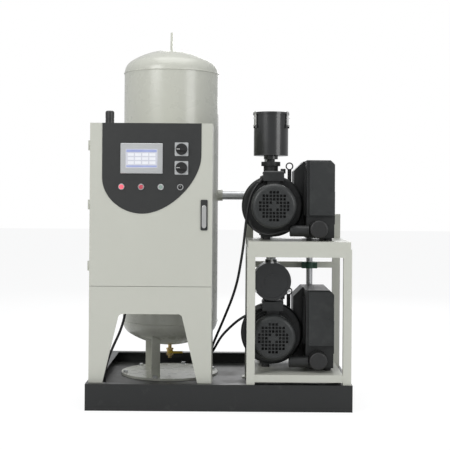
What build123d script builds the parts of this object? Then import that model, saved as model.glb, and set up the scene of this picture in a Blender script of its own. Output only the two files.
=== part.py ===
from build123d import *
import math
import os

# Duplex medical vacuum station: a receiver tank, a control cabinet and two
# oil-lubricated rotary vane pumps on a rack, all on one steel base frame.
# Millimetres. +X right, +Y back, +Z up. Origin at the middle of the base, on the floor.

# Base frame
base_w = 1300
base_d = 1100
rim_h = 130
rim_flange = 50
rim_t = 6
deck_top = 68
deck_t = 4
bearer_w = 50
bearer_wall = 4
bearer_xs = (-430, 0, 400)

# Receiver tank
tank_x = -280
tank_y = 160
tank_r = 260
tank_wall = 6
tank_bottom = 228
tank_height = 1624
head_crown_r = 416
head_knuckle_r = 80
foot_r = 265
foot_t = 12
leg_ring_r = 195
leg_size = 50
leg_t = 5
leg_angles = (258, 138, 18)
lug_t = 14
lug_w = 90
lug_h = 96
lug_hole_r = 18
port_collar = 7
port_reach = 26
inlet_z = 1400
inlet_bore_r = 27
inlet_neck_r = 31
inlet_reach = 60
inlet_flange_r = 82.5
inlet_flange_t = 16
inlet_pcd = 125
inlet_hole_r = 9

# Drain valve under the tank
valve_r = 17
valve_len = 40
valve_drop = 22
drain_pipe_r = 10
stem_r = 5
lever_len = 72
lever_w = 12
lever_t = 3

# Control cabinet and its stand
cab_w = 600
cab_x = -338
cab_front = -490
cab_depth = 340
cab_bottom = 600
cab_height = 800
sheet = 3
door_lip = 20
door_depth = 20
door_gap = 0.5
seam = 2
hinge_out = 6
hinge_r = 5.5
hinge_pin_r = 3
hinge_leaf_t = 3
hinge_len = 24
hinge_zs = (700, 1000, 1290)
stand_cut_top = 153
stand_cut_bottom = 232
stand_cut_z = 466
side_cut_top = 110
side_cut_bottom = 130
stand_flange = 30
stand_fold = 15
stand_band = 60
cut_round = 22

# Controls on the door
panel_t = 2
panel_left = -578
panel_right = -93
panel_low_x = -382
panel_low_z = 957
panel_left_z = 1135
panel_right_z = 1246
screen_x = -385
screen_z = 1227
bezel_w = 207
bezel_h = 148
bezel_t = 8
housing_w = 192
housing_h = 138
housing_d = 42
glass_w = 156
glass_h = 93
glass_t = 1.5
cut_gap = 0.5
switch_x = -190
switch_zs = (1273, 1182)
switch_side = 66
switch_t = 6
switch_body = 50
switch_body_d = 55
knob_r = 28
knob_t = 12
spindle_r = 5
fit = 0.05
turn_gap = 0.4
button_x0 = -483
button_pitch = 96
button_z = 1088
bezel_r = 15
ring_t = 5
neck_r = 11
button_body = 28
button_body_d = 38
lens_r = 11.5
lens_h = 9
push_r = 9
push_stand = 3
push_travel = 4
push_len = 13
selector_r = 11
selector_h = 9
latch_x = -78
latch_z = 952
latch_w = 34
latch_h = 150
latch_t = 4
handle_w = 22
handle_len = 112
handle_t = 7
latch_spindle_r = 6
cam_gap = 1.5
cam_w = 10
cam_t = 3
cam_depth = 30

# Inside the cabinet
gear_w = 520
gear_h = 700
gear_t = 3
gear_standoff = 16
standoff_r = 7

# Alarm sounder on the cabinet roof
sounder_x = -555
sounder_y = -400
sounder_r = 22
sounder_h = 68

# Pump rack
rack_x0 = 134
rack_x1 = 644
rack_y0 = -540
rack_y1 = 60
post = 40
tube_wall = 3
rail_top = 790
rear_post_top = 955
crossbar_z = 665
crossbar_h = 32
shelf_fold = 36
shelf_t = 3
shelf_inset = 5
lower_shelf_top = 178
stiffener_ys = (-390, -150)
stiffener_w = 40
stiffener_h = 26
foot_pad = 70
foot_pad_t = 6

# Pump, measured up from its shelf and along Y
pump_x = 265
axis_h = 172
cowl_front = -494
cowl_back = -430
cowl_r = 112
cowl_t = 3
cowl_round = 24
grille_r = 83
grille_t = 2
mesh_pitch = 17
mesh_hole = 12.5
mesh_hub_r = 18
motor_back = -318
motor_core_r = 96
fin_r = 106
fin_t = 3
fin_count = 28
shield_t = 8
motor_flange_t = 14
shaft_r = 12
fan_r = 98
fan_hub_r = 24
fan_w = 26
fan_blades = 9
blade_t = 3
bell_r = 157
bell_front = -300
bell_back = -245
bell_step_r = 122
bell_round = 14
cylinder_r = 112
cylinder_back = 4
rib_r = 125
rib_t = 7
rib_count = 6
end_cover_t = 12
pedestal_w = 60
pedestal_x = 235
pedestal_t = 22
bridge_x = 340
foot_h = 14
foot_pad_r = 20
box_x0 = 430
box_x1 = 569
box_front = -420
sump_front = -410
box_back = -40
box_h = 402
box_chamfer = 20
shoulder_x = 377
shoulder_front = -235
shoulder_low = 150
shoulder_chamfer = 48
side_rib_ys = (-340, -285)
side_rib_t = 6
step_x = 6
step_low = 82
step_high = 246
cover_x0 = 442
cover_low = 126
cover_high = 396
cover_t = 12
cover_round = 8
bolt_r = 5
bolt_h = 3
filter_x = 487
filter_h = 59
filter_r = 44
filter_front = -492
filter_adaptor_r = 30
strainer_x = 345
strainer_r = 28
strainer_y = -442
strainer_h = 50
term_w = 102
term_y0 = -420
term_y1 = -310
term_low = 297
term_high = 347
term_lid = 14
term_lip = 2
term_neck = 60
inlet_x = 260
inlet_y = -150
inlet_body_r = 38
inlet_body_top = 380
inlet_flange_top = 402
inlet_plate_r = 50
nipple_r = 21
nipple_len = 14
eye_x = 355
eye_y = -200
eye_h = 378
eye_r = 17
eye_wire = 3.4
eye_post_r = 10
ballast_x = 320
ballast_y = -222
ballast_pipe_r = 7
ballast_knob_r = 14
ballast_low = 340
ballast_high = 364

# Filter canister, drawn standing on its neck
can_r = 90
can_wall = 3
can_neck_r = 37
can_neck_h = 18
can_h = 213
lid_t = 12
lid_rim_r = 95
lid_cap_r = 36
lid_cap_h = 4
lid_dimple_r = 6
lid_dimple_ring = 62
element_r = 70
element_bore = 38
can_port_z = 78
can_port_r = 30
can_port_reach = 100
lying_h = 446
lying_y = -188
clip_angles = (90, 210, 330)
clip_pivot_r = 98
clip_pivot_z = 171
clip_w = 14
clip_t = 2.4
clip_barrel_r = 4
clip_pin_r = 2
clip_ear_t = 2.5
clip_gap = 0.5
clip_hook = 10
clip_tab = 12

# Pipework
suction_r = 24.15
suction_wall = 2.6
header_z = 1053
branch_z = 760
riser_y = 160
elbow_r = 50
stub_elbow_r = 35
exhaust_r = 16.85
exhaust_wall = 2.6
exhaust_x = 476
exhaust_y = -10
exhaust_port_h = 330
exhaust_top = 1215
exhaust_spigot_r = 16
exhaust_spigot_h = 36
exhaust_elbow = 26
exhaust_hole_r = 22
clamp_w = 82
clamp_h = 34
clamp_clear = 0.15

# Cables and the oil hose
cable_d = 13
hose_d = 10
gland_r = 13
gland_len = 34
gland_nut_r = 16
gland_nut_t = 8
upper_gland_tilt = 50
lower_gland_tilt = 28
gland_y = -365
gland_drop = 34
floor_gland = (-476, -300)
grommet_r = 14
grommet_h = 14
grommet_spots = ((-66, -130), (-104, -84), (-586, -275))
hose_fitting_r = 8
hose_fitting_len = 22
hose_start = (150, -322, 920)

front = -base_d / 2
right = base_w / 2
head_h = head_crown_r - math.sqrt((head_crown_r - head_knuckle_r) ** 2 - (tank_r - head_knuckle_r) ** 2)
tank_top = tank_bottom + tank_height
foot_top = deck_top + foot_t
cab_left = cab_x - cab_w / 2
cab_right = cab_x + cab_w / 2
cab_back = cab_front + cab_depth
cab_top = cab_bottom + cab_height
door_front = cab_front - door_gap - door_depth
door_back = cab_front - door_gap
panel_front = door_front - panel_t
upper_shelf_top = rail_top + shelf_fold
shelves = {"upper": upper_shelf_top, "lower": lower_shelf_top}

upper_first_run = 55
lower_first_run = 45
route_upper_tail = [(138, -364, 985), (127, -361, 896), (118, -352, 800), (104, -338, 705),
                    (88, -315, 612), (62, -272, 522), (28, -218, 432), (-6, -168, 345),
                    (-40, -134, 262), (-66, -130, 160), (-66, -130, 82)]
route_lower_tail = [(92, -345, 420), (48, -302, 375), (12, -243, 330), (-12, -172, 283),
                    (-40, -104, 222), (-104, -84, 150), (-104, -84, 82)]
route_supply = [(-476, -300, 566), (-476, -300, 500), (-484, -298, 428), (-508, -293, 350),
                (-544, -285, 275), (-572, -279, 205), (-586, -275, 142), (-586, -275, 82)]
route_hose = [(150, -322, 920), (150, -350, 920), (158, -385, 893), (188, -415, 868),
              (232, -432, 856), (272, -441, 860), (310, -442, 876), (345, -442, 876)]


def block(x0, x1, y0, y1, z0, z1):
    """Box between two corners."""
    size = (x1 - x0, y1 - y0, z1 - z0)
    return Pos((x0 + x1) / 2, (y0 + y1) / 2, (z0 + z1) / 2) * Box(*size)


def rod_x(x0, x1, y, z, radius):
    return Pos((x0 + x1) / 2, y, z) * Rot(0, 90, 0) * Cylinder(radius, x1 - x0)


def rod_y(x, y0, y1, z, radius):
    return Pos(x, (y0 + y1) / 2, z) * Rot(90, 0, 0) * Cylinder(radius, y1 - y0)


def rod_z(x, y, z0, z1, radius):
    return Pos(x, y, (z0 + z1) / 2) * Cylinder(radius, z1 - z0)


def plate_y(sketch, y0, y1):
    """Sketch drawn in X and Z, made solid between two Y planes."""
    return extrude(Plane(origin=(0, y1, 0), x_dir=(1, 0, 0), z_dir=(0, -1, 0)) * sketch, y1 - y0)


def plate_x(sketch, x0, x1):
    """Sketch drawn in Y and Z, made solid between two X planes."""
    return extrude(Plane(origin=(x0, 0, 0), x_dir=(0, 1, 0), z_dir=(1, 0, 0)) * sketch, x1 - x0)


def outline(*points):
    return make_face(Polyline(*points, close=True))


def tube_along(path, radius, wall):
    """Round pipe along a path."""
    start = path.location_at(0)
    section = Circle(radius) - Circle(radius - wall)
    plane = Plane(origin=path @ 0, z_dir=path % 0)
    return sweep(plane * section, path=path)


def cord(points, diameter, name):
    """Round cord of straight runs joined by arcs as large as the runs allow."""
    spots = [Vector(*p) for p in points]
    runs = [b - a for a, b in zip(spots, spots[1:])]
    radii = []
    for before, after in zip(runs, runs[1:]):
        half_turn = math.radians(before.get_angle(after)) / 2
        radii.append(0.45 * min(before.length, after.length) / math.tan(half_turn))
    path = FilletPolyline(*points, radius=radii)
    solid = sweep(Plane(origin=path @ 0, z_dir=path % 0) * Circle(diameter / 2), path=path)
    ideal = math.pi * diameter ** 2 / 4 * path.length
    print(name, "length", round(path.length), "radii", [round(r) for r in radii],
          "volume ratio", round(solid.volume / ideal, 4))
    return solid


def base_rails():
    """Channel ring with its flanges turned in, cut into mitred rails."""
    ring = block(-right, right, front, -front, 0, rim_h)
    ring -= block(-right + rim_t, right - rim_t, front + rim_t, -front - rim_t, rim_t, rim_h - rim_t)
    ring -= block(-right + rim_flange, right - rim_flange, front + rim_flange, -front - rim_flange,
                  -1, rim_h + 1)
    wedge = outline((-right, front), (right, front), (right - rim_flange, front + rim_flange),
                    (-right + rim_flange, front + rim_flange))
    front_wedge = extrude(wedge, rim_h)
    both = front_wedge + Rot(0, 0, 180) * front_wedge
    long_rails = ring & both
    side_rails = ring - both
    return long_rails, side_rails


def base_bearers():
    """Box-section bearers that stand on the bottom flanges and carry the deck."""
    low = rim_t
    high = deck_top - deck_t
    bars = []
    for x in bearer_xs:
        bar = block(x - bearer_w / 2, x + bearer_w / 2, front + rim_t, -front - rim_t, low, high)
        bar -= block(x - bearer_w / 2 + bearer_wall, x + bearer_w / 2 - bearer_wall, front, -front,
                     low + bearer_wall, high - bearer_wall)
        bars.append(bar)
    return bars


def deck_plate():
    return block(-right + rim_t, right - rim_t, front + rim_t, -front - rim_t,
                 deck_top - deck_t, deck_top)


def vessel(inset):
    """Cylinder with two dished heads, each a wide crown and a tight knuckle."""
    crown = head_crown_r - inset
    knuckle = head_knuckle_r - inset
    side = tank_r - head_knuckle_r
    low = tank_bottom + head_crown_r
    high = tank_top - head_crown_r
    turn = math.degrees(math.acos(side / (head_crown_r - head_knuckle_r)))
    foot = tank_bottom + head_h
    shoulder = tank_top - head_h
    edges = [CenterArc((0, low), crown, -90, 90 - turn),
             CenterArc((side, foot), knuckle, -turn, turn),
             Line((tank_r - inset, foot), (tank_r - inset, shoulder)),
             CenterArc((side, shoulder), knuckle, 0, turn),
             CenterArc((0, high), crown, turn, 90 - turn),
             Line((0, tank_top - inset), (0, tank_bottom + inset))]
    return Pos(tank_x, tank_y, 0) * revolve(Plane.XZ * make_face(edges), Axis.Z)


def tank_vessel():
    """Welded receiver: shell, heads, lifting lug, pump-side socket and flanged inlet."""
    outer = vessel(0)
    inner = vessel(tank_wall)
    lug = outline((-lug_w / 2, tank_top - head_h / 4), (lug_w / 2, tank_top - head_h / 4),
                  (lug_w / 2 - 6, tank_top + lug_h * 0.4), (lug_w / 4, tank_top + lug_h),
                  (-lug_w / 4, tank_top + lug_h), (-lug_w / 2 + 6, tank_top + lug_h * 0.4))
    hole = Pos(0, tank_top + lug_h - 2 * lug_hole_r) * Circle(lug_hole_r)
    lug_plate = Pos(0, tank_y, 0) * plate_x(lug - hole, tank_x - lug_t / 2, tank_x + lug_t / 2)
    socket = rod_x(tank_x, tank_x + tank_r + port_reach, riser_y, header_z, suction_r + port_collar)
    rear = tank_y + tank_r + inlet_reach
    neck = rod_y(tank_x, tank_y, rear, inlet_z, inlet_neck_r)
    flange = rod_y(tank_x, rear - inlet_flange_t, rear, inlet_z, inlet_flange_r)
    for spot in PolarLocations(inlet_pcd / 2, 4, start_angle=45):
        x = tank_x + spot.position.X
        z = inlet_z + spot.position.Y
        flange -= rod_y(x, rear - inlet_flange_t - 1, rear + 1, z, inlet_hole_r)
    body = outer + lug_plate + socket + neck + flange
    body -= inner
    body -= rod_x(tank_x, tank_x + tank_r + port_reach + 1, riser_y, header_z, suction_r - suction_wall)
    body -= rod_y(tank_x, tank_y, rear + 1, inlet_z, inlet_bore_r)
    return body


def tank_stand():
    """Three angle-iron legs welded to a round foot plate."""
    stand = rod_z(tank_x, tank_y, deck_top, foot_top, foot_r)
    size = leg_size
    angle = outline((0, 0), (-size, 0), (-size, -leg_t), (-leg_t, -leg_t), (-leg_t, -size), (0, -size))
    reach = extrude(angle, tank_bottom + head_h - foot_top)
    for turn in leg_angles:
        place = Pos(tank_x, tank_y, foot_top) * Rot(0, 0, turn) * Pos(leg_ring_r, 0, 0) * Rot(0, 0, -45)
        stand += place * Rot(0, 0, 90) * reach
    stand -= vessel(0)
    return stand


valve_top = tank_bottom - valve_drop
valve_mid = valve_top - valve_len / 2


def drain_valve():
    """Ball valve screwed to the bottom of the tank, with its outlet elbow."""
    body = rod_z(tank_x, tank_y, valve_top, tank_bottom + 4, drain_pipe_r)
    body += rod_z(tank_x, tank_y, valve_top - valve_len, valve_top, valve_r)
    body += rod_z(tank_x, tank_y, valve_top - valve_len - 14, valve_top - valve_len, drain_pipe_r)
    for z in (valve_top - 8, valve_top - valve_len):
        hexagon = RegularPolygon(valve_r + 3, 6)
        body += Pos(tank_x, tank_y, z) * extrude(hexagon, 8)
    body += rod_y(tank_x, tank_y - valve_r - 6, tank_y, valve_mid, stem_r + 3)
    body -= rod_y(tank_x, tank_y - valve_r - 7, tank_y - 4, valve_mid, stem_r + fit)
    return body - vessel(0)


def drain_lever():
    """Flat lever on the valve stem, with a bent grip end."""
    y = tank_y - valve_r - 6 - turn_gap
    lever = rod_y(tank_x, y - lever_t, y, valve_mid, lever_w * 0.75)
    lever += block(tank_x, tank_x + lever_len, y - lever_t, y, valve_mid - lever_w / 2,
                   valve_mid + lever_w / 2)
    lever += block(tank_x + lever_len - lever_t, tank_x + lever_len, y - 14, y,
                   valve_mid - lever_w / 2, valve_mid + lever_w / 2)
    return lever + rod_y(tank_x, y, tank_y - 6, valve_mid, stem_r)


def cabinet_shell():
    """Sheet-steel box, open at the front behind a turned-in lip."""
    shell = block(cab_left, cab_right, cab_front, cab_back, cab_bottom, cab_top)
    shell -= block(cab_left + sheet, cab_right - sheet, cab_front + sheet, cab_back - sheet,
                   cab_bottom + sheet, cab_top - sheet)
    shell -= block(cab_left + door_lip, cab_right - door_lip, cab_front - 1, cab_front + sheet + 1,
                   cab_bottom + door_lip, cab_top - door_lip)
    x, y = floor_gland
    return shell - rod_z(x, y, cab_bottom - 1, cab_bottom + sheet + 1, gland_r - 2)


def tapered_gap(middle, top_half, bottom_half, top, bottom):
    """Four-sided gap with rounded upper corners, narrower at the top."""
    gap = outline((middle - top_half, top), (middle + top_half, top),
                  (middle + bottom_half, bottom), (middle - bottom_half, bottom))
    corners = gap.vertices().sort_by(Axis.Y)[-2:]
    return fillet(corners, cut_round)


def cabinet_stand():
    """Folded sheet stand with tapered gaps in its front and sides, open at the rear."""
    low = rim_h
    high = cab_bottom
    y0 = door_front
    y1 = cab_back
    stand = block(cab_left, cab_right, y0, y1, low, high)
    stand -= block(cab_left + sheet, cab_right - sheet, y0 + sheet, y1 - sheet, low - 1, high - sheet)
    stand -= block(cab_left + stand_flange, cab_right - stand_flange, y0 + stand_flange,
                   y1 - stand_flange, high - sheet - 1, high + 1)
    stand -= block(cab_left + stand_fold, cab_right - stand_fold, y1 - sheet - 1, y1 + 1, low - 1,
                   high - stand_band)
    stand -= plate_y(tapered_gap(cab_x, stand_cut_top, stand_cut_bottom, stand_cut_z, low - 1),
                     y0 - 1, y0 + sheet + 1)
    middle = (y0 + y1) / 2
    stand -= plate_x(tapered_gap(middle, side_cut_top, side_cut_bottom, stand_cut_z, low - 1),
                     cab_left - 1, cab_right + 1)
    rear_foot = block(cab_right - stand_fold, cab_right, y1 - stand_band, y1, deck_top, low)
    return stand + rear_foot


def round_cuts(depth_front, depth_back):
    """Holes for the switches, buttons and latch."""
    cuts = []
    for z in switch_zs:
        cuts.append(rod_y(switch_x, depth_front, depth_back, z, neck_r + 1 + cut_gap))
    for i in range(4):
        cuts.append(rod_y(button_x0 + i * button_pitch, depth_front, depth_back, button_z,
                          neck_r + cut_gap))
    return cuts


def cabinet_door():
    """Folded door pan with cut-outs for the controls and the moving hinge halves."""
    low = cab_bottom + seam
    door = block(cab_left, cab_right, door_front, door_back, low, cab_top)
    door -= block(cab_left + sheet, cab_right - sheet, door_front + sheet, door_back + 1,
                  low + sheet, cab_top - sheet)
    half_w = housing_w / 2 + cut_gap
    half_h = housing_h / 2 + cut_gap
    door -= block(screen_x - half_w, screen_x + half_w, door_front - 1, door_front + sheet + 1,
                  screen_z - half_h, screen_z + half_h)
    for cut in round_cuts(door_front - 1, door_front + sheet + 1):
        door -= cut
    door -= rod_y(latch_x, door_front - 1, door_front + sheet + 1, latch_z + handle_len / 3,
                  latch_spindle_r + 4 + cut_gap)
    for z in hinge_zs:
        door += hinge_half(z, z + hinge_len, door_front + 2, door_back)
    return door


def hinge_half(z0, z1, y0, y1):
    """One knuckle with its leaf on the outside of the left wall."""
    x = cab_left - hinge_out
    leaf = block(cab_left - hinge_leaf_t, cab_left, y0, y1, z0, z1)
    knuckle = leaf + rod_z(x, cab_front, z0, z1, hinge_r)
    return knuckle - rod_z(x, cab_front, z0 - 1, z1 + 1, hinge_pin_r + fit)


def door_hinges():
    """Fixed hinge halves, each with its pin."""
    halves = []
    for z in hinge_zs:
        half = hinge_half(z - hinge_len - turn_gap, z - turn_gap, cab_front, cab_front + hinge_len)
        half += rod_z(cab_left - hinge_out, cab_front, z - hinge_len, z + hinge_len - 2, hinge_pin_r)
        halves.append(half)
    return halves


def control_panel():
    """Black front plate on the door, straight at the top and curved below."""
    top = cab_top
    reach_r = 0.46
    reach_l = 0.54
    right_w = panel_right - panel_low_x
    right_h = panel_right_z - panel_low_z
    left_w = panel_low_x - panel_left
    left_h = panel_left_z - panel_low_z
    top_edge = Line((panel_left, top), (panel_right, top))
    right_edge = Line((panel_right, top), (panel_right, panel_right_z))
    right_curve = Bezier((panel_right, panel_right_z), (panel_right, panel_right_z - reach_r * right_h),
                         (panel_low_x + reach_r * right_w, panel_low_z), (panel_low_x, panel_low_z))
    left_curve = Bezier((panel_low_x, panel_low_z), (panel_low_x - reach_l * left_w, panel_low_z),
                        (panel_left, panel_left_z - reach_l * left_h), (panel_left, panel_left_z))
    left_edge = Line((panel_left, panel_left_z), (panel_left, top))
    plate = plate_y(make_face([top_edge, right_edge, right_curve, left_curve, left_edge]),
                    panel_front, door_front)
    half_w = housing_w / 2 + cut_gap
    half_h = housing_h / 2 + cut_gap
    plate -= block(screen_x - half_w, screen_x + half_w, panel_front - 1, door_front + 1,
                   screen_z - half_h, screen_z + half_h)
    for cut in round_cuts(panel_front - 1, door_front + 1):
        plate -= cut
    return plate


def screen_bezel():
    """Operator screen: bezel on the panel and housing behind the door."""
    face = Pos(screen_x, screen_z) * RectangleRounded(bezel_w, bezel_h, 4)
    bezel = plate_y(face, panel_front - bezel_t, panel_front)
    edge = bezel.faces().sort_by(Axis.Y)[0].edges()
    bezel = chamfer(edge, 2)
    bezel += block(screen_x - housing_w / 2, screen_x + housing_w / 2, panel_front,
                   panel_front + housing_d, screen_z - housing_h / 2, screen_z + housing_h / 2)
    y = panel_front - bezel_t
    recess = Pos(screen_x, screen_z) * Rectangle(glass_w, glass_h)
    return bezel - plate_y(recess, y - 1, y + glass_t + 1)


def screen_glass():
    y = panel_front - bezel_t + 1
    face = Pos(screen_x, screen_z) * Rectangle(glass_w, glass_h)
    return plate_y(face, y, y + glass_t)


def control_bezels():
    """Two switch plates with their bodies, and four button rings with theirs."""
    units = []
    for z in switch_zs:
        face = Pos(switch_x, z) * RectangleRounded(switch_side, switch_side, 4)
        unit = plate_y(face, panel_front - switch_t, panel_front)
        unit += rod_y(switch_x, panel_front, door_front + sheet + 1, z, neck_r + 1)
        half = switch_body / 2
        unit += block(switch_x - half, switch_x + half, door_front + sheet, door_front + switch_body_d,
                      z - half, z + half)
        unit -= rod_y(switch_x, panel_front - switch_t - 1, panel_front + 12, z, spindle_r + fit)
        units.append(unit)
    for i in range(4):
        x = button_x0 + i * button_pitch
        unit = rod_y(x, panel_front - ring_t, panel_front, button_z, bezel_r)
        unit = chamfer(unit.edges().group_by(Axis.Y)[0], 1.5)
        unit += rod_y(x, panel_front, door_front + sheet + 1, button_z, neck_r)
        half = button_body / 2
        unit += block(x - half, x + half, door_front + sheet, door_front + button_body_d,
                      button_z - half, button_z + half)
        if i == 2:
            depth = push_len - push_stand + push_travel + 1
            unit -= rod_y(x, panel_front - ring_t - 1, panel_front - ring_t + depth, button_z,
                          push_r + fit)
        if i == 3:
            unit -= rod_y(x, panel_front - ring_t - 1, panel_front + 12, button_z, spindle_r + fit)
        units.append(unit)
    return units


def lamp_lenses():
    """Two domed lamp lenses on their rings."""
    lenses = []
    for i in range(2):
        y = panel_front - ring_t
        lens = rod_y(button_x0 + i * button_pitch, y - lens_h, y, button_z, lens_r)
        lenses.append(fillet(lens.edges().group_by(Axis.Y)[0], 5))
    return lenses


def start_button():
    x = button_x0 + 2 * button_pitch
    y = panel_front - ring_t - push_stand
    cap = rod_y(x, y, y + push_len, button_z, push_r)
    return chamfer(cap.edges().group_by(Axis.Y)[0], 1)


def selector_knob():
    """Small selector with a raised pointer bar."""
    x = button_x0 + 3 * button_pitch
    y = panel_front - ring_t - turn_gap
    knob = rod_y(x, y - 4, y, button_z, selector_r)
    knob += block(x - 3, x + 3, y - selector_h, y - 4, button_z - selector_r, button_z + selector_r)
    return knob + rod_y(x, y, panel_front + 10, button_z, spindle_r)


def switch_knob(z):
    """Round rotary knob with a full-width grip bar and a spindle."""
    y = panel_front - switch_t - turn_gap
    knob = rod_y(switch_x, y - knob_t, y, z, knob_r)
    knob = chamfer(knob.edges().group_by(Axis.Y)[0], 2)
    grip = Pos(switch_x, z) * SlotOverall(2 * knob_r - 4, 14)
    knob += plate_y(grip, y - knob_t - 12, y - knob_t)
    return knob + rod_y(switch_x, y, panel_front + 10, z, spindle_r)


latch_axis_z = latch_z + handle_len / 3


def latch_plate():
    face = Pos(latch_x, latch_z) * RectangleRounded(latch_w, latch_h, 6)
    plate = plate_y(face, door_front - latch_t, door_front)
    plate += rod_y(latch_x, door_front, door_front + sheet + 4, latch_axis_z, latch_spindle_r + 4)
    return plate - rod_y(latch_x, door_front - latch_t - 1, door_front + sheet + 5, latch_axis_z,
                         latch_spindle_r + fit)


def latch_handle():
    """Turning handle, its spindle and the locking cam behind the door."""
    y = door_front - latch_t - turn_gap
    face = Pos(latch_x, latch_axis_z - handle_len / 2 + handle_w / 2) * Rot(0, 0, 90) * SlotOverall(
        handle_len, handle_w)
    handle = plate_y(face, y - handle_t, y)
    handle = fillet(handle.faces().sort_by(Axis.Y)[0].edges(), 2.5)
    handle += rod_y(latch_x, y, door_front + cam_depth, latch_axis_z, latch_spindle_r)
    cam = block(latch_x - cam_w / 2, cab_right - door_lip - cam_gap, door_front + cam_depth - cam_t,
                door_front + cam_depth, latch_axis_z - cam_w / 2, latch_axis_z + cam_w / 2)
    return handle + cam


gear_front = cab_back - sheet - gear_standoff - gear_t


def gear_plate():
    """Mounting plate for the control gear on four stand-offs."""
    z0 = cab_bottom + (cab_height - gear_h) / 2
    plate = block(cab_x - gear_w / 2, cab_x + gear_w / 2, gear_front, gear_front + gear_t, z0,
                  z0 + gear_h)
    for dx in (-1, 1):
        for dz in (-1, 1):
            x = cab_x + dx * (gear_w / 2 - 25)
            z = z0 + gear_h / 2 + dz * (gear_h / 2 - 25)
            plate += rod_y(x, gear_front + gear_t, cab_back - sheet, z, standoff_r)
    return plate


def control_gear():
    """Controller, breakers, two motor contactors and a terminal row on their rails."""
    items = []
    top = cab_bottom + cab_height - 150
    for x, w, h, d in ((-460, 150, 100, 72), (-240, 90, 86, 66)):
        items.append(block(x - w / 2, x + w / 2, gear_front - d, gear_front, top - h, top))
    for x in (-480, -380):
        unit = block(x - 28, x + 28, gear_front - 88, gear_front, top - 300, top - 215)
        unit += block(x - 24, x + 24, gear_front - 80, gear_front, top - 360, top - 300)
        items.append(unit)
    items.append(block(-300, -160, gear_front - 60, gear_front, top - 300, top - 240))
    items.append(block(-520, -160, gear_front - 45, gear_front, top - 500, top - 450))
    return items


def alarm_sounder():
    """Ribbed sounder with a domed top."""
    body = rod_z(sounder_x, sounder_y, cab_top, cab_top + sounder_h, sounder_r)
    body = fillet(body.edges().group_by(Axis.Z)[-1], 9)
    for k in range(3):
        z = cab_top + 14 + 7 * k
        ring = rod_z(sounder_x, sounder_y, z, z + 3, sounder_r + 1)
        ring -= rod_z(sounder_x, sounder_y, z, z + 3, sounder_r - 1.5)
        body -= ring
    return body


def square_tube(x0, x1, y0, y1, z0, z1, axis):
    """Square tube between two corners, hollow along the named axis."""
    wall = {"x": (0, 1, 1), "y": (1, 0, 1), "z": (1, 1, 0)}[axis]
    wx, wy, wz = (tube_wall if k else -1 for k in wall)
    return block(x0, x1, y0, y1, z0, z1) - block(x0 + wx, x1 - wx, y0 + wy, y1 - wy, z0 + wz, z1 - wz)


def rack_posts():
    """Two short front posts on the rim and two tall rear posts on the deck."""
    posts = []
    for x in (rack_x0, rack_x1 - post):
        posts.append(square_tube(x, x + post, rack_y0, rack_y0 + post, rim_h, rail_top - post, "z"))
        on_deck = x == rack_x0
        foot = deck_top + foot_pad_t if on_deck else rim_h
        rear = square_tube(x, x + post, rack_y1 - post, rack_y1, foot, rear_post_top, "z")
        rear += block(x, x + post, rack_y1 - post, rack_y1, rear_post_top - tube_wall, rear_post_top)
        if on_deck:
            over = (foot_pad - post) / 2
            rear += block(x - over, x + post + over, rack_y1 - post - over, rack_y1 + over, deck_top,
                          deck_top + foot_pad_t)
        posts.append(rear)
    return posts


def rack_rails():
    """Front top rail, two side rails and the low rear crossbar."""
    low = rail_top - post
    rails = [square_tube(rack_x0, rack_x1, rack_y0, rack_y0 + post, low, rail_top, "x")]
    for x in (rack_x0, rack_x1 - post):
        rails.append(square_tube(x, x + post, rack_y0 + post, rack_y1 - post, low, rail_top, "y"))
    rails.append(square_tube(rack_x0 + post, rack_x1 - post, rack_y1 - post, rack_y1, crossbar_z,
                             crossbar_z + crossbar_h, "x"))
    return rails


def shelf(x0, x1, y0, y1, top):
    """Steel shelf folded down on four sides, with two stiffeners below."""
    low = top - shelf_fold
    pan = block(x0, x1, y0, y1, low, top)
    pan -= block(x0 + shelf_t, x1 - shelf_t, y0 + shelf_t, y1 - shelf_t, low - 1, top - shelf_t)
    for y in stiffener_ys:
        bar = block(x0 + shelf_t, x1 - shelf_t, y, y + stiffener_w, top - shelf_t - stiffener_h,
                    top - shelf_t)
        bar -= block(x0, x1, y + shelf_t, y + stiffener_w - shelf_t, top - shelf_t - stiffener_h - 1,
                     top - 2 * shelf_t)
        pan += bar
    return pan


def rack_shelves():
    upper = shelf(rack_x0 + shelf_inset, rack_x1 - shelf_inset, rack_y0 + 2, rack_y1 - post,
                  upper_shelf_top)
    upper -= rod_z(exhaust_x, exhaust_y, rail_top - 1, upper_shelf_top + 1, exhaust_hole_r)
    lower = shelf(rack_x0 + post, rack_x1 - post, rack_y0 + 2, rack_y1, lower_shelf_top)
    return [upper, lower]


def motor_body(z):
    """Finned motor frame with its front end shield and shaft bore."""
    axis = z + axis_h
    section = Circle(motor_core_r)
    fin = Rectangle(fin_r - motor_core_r + 4, fin_t)
    for spot in PolarLocations((fin_r + motor_core_r - 4) / 2, fin_count):
        section += spot * fin
    body = plate_y(Pos(pump_x, axis) * section, cowl_back - shield_t + 2, motor_back)
    body += rod_y(pump_x, cowl_back - shield_t, cowl_back, axis, cowl_r - cowl_t)
    body += rod_y(pump_x, motor_back - motor_flange_t, motor_back, axis, fin_r + 4)
    return body - rod_y(pump_x, cowl_back - 20, motor_back + 1, axis, shaft_r + fit)


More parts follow.
